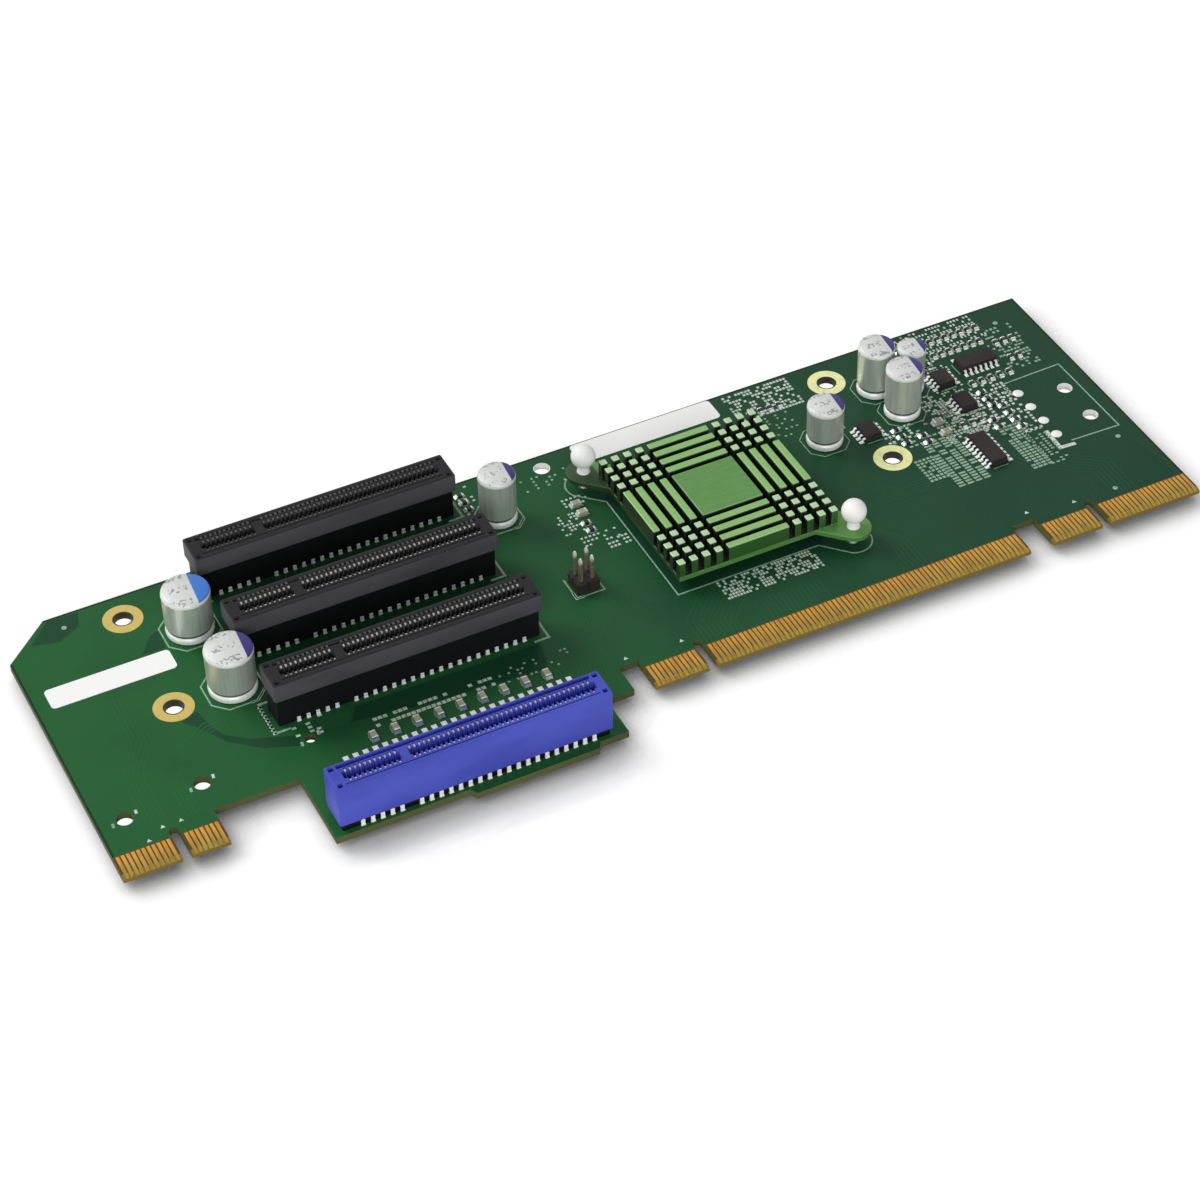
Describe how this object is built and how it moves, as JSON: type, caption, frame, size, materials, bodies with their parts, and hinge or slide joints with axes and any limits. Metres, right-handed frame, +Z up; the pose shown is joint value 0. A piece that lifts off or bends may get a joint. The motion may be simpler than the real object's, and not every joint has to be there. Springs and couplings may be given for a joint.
{
  "type": "riser card",
  "caption": "Flat server riser card: green circuit board with keyed gold edge connectors, upright card slots, a cross-cut heat sink and capacitors.",
  "frame": {"origin": "below the middle of the board outline's box, on the plane that the lead ends stand on", "axes": "+X along the board's long side, +Y from the edge connectors to the back edge, +Z up out of the component side"},
  "size_m": [0.2358, 0.0832, 0.0152],
  "materials": {
    "solder_mask": "green solder mask over glass laminate",
    "contact_gold": "gold plate",
    "slot_black": "moulded black plastic",
    "slot_blue": "moulded blue plastic",
    "anodised_green": "green anodised aluminium",
    "carrier_green": "chip carrier",
    "thermal_grey": "soft thermal pad",
    "nylon_white": "white nylon",
    "can_aluminium": "drawn aluminium can",
    "solder": "tin plate and solder",
    "chip_black": "moulded epoxy",
    "ceramic_beige": "fired ceramic",
    "label_paper": "blank white label"
  },
  "bodies": {
    "root": {"bridge_lid": "chip_black", "bridge_substrate": "carrier_green", "capacitor_cans": "can_aluminium", "chip_14_body": "chip_black", "chip_14_leads": "solder", "chip_16_body": "chip_black", "chip_16_leads": "solder", "chip_8a_body": "chip_black", "chip_8a_leads": "solder", "chip_8b_body": "chip_black", "chip_8b_leads": "solder", "chip_8c_body": "chip_black", "chip_8c_leads": "solder", "chip_capacitors": "ceramic_beige", "chip_resistors": "chip_black", "circuit_board": "solder_mask", "edge_contacts_long": "contact_gold", "edge_contacts_middle": "contact_gold", "edge_contacts_short": "contact_gold", "header_base": "slot_black", "header_pins": "contact_gold", "heat_sink": "anodised_green", "label_back": "label_paper", "label_left": "label_paper", "push_pin_back": "nylon_white", "push_pin_front": "nylon_white", "slot_housing_back": "slot_black", "slot_housing_blue": "slot_blue", "slot_housing_front": "slot_black", "slot_housing_middle": "slot_black", "slot_tails_back": "solder", "slot_tails_blue": "solder", "slot_tails_front": "solder", "slot_tails_middle": "solder", "solder_joints": "solder", "thermal_pad": "thermal_grey"}
  },
  "joints": []
}
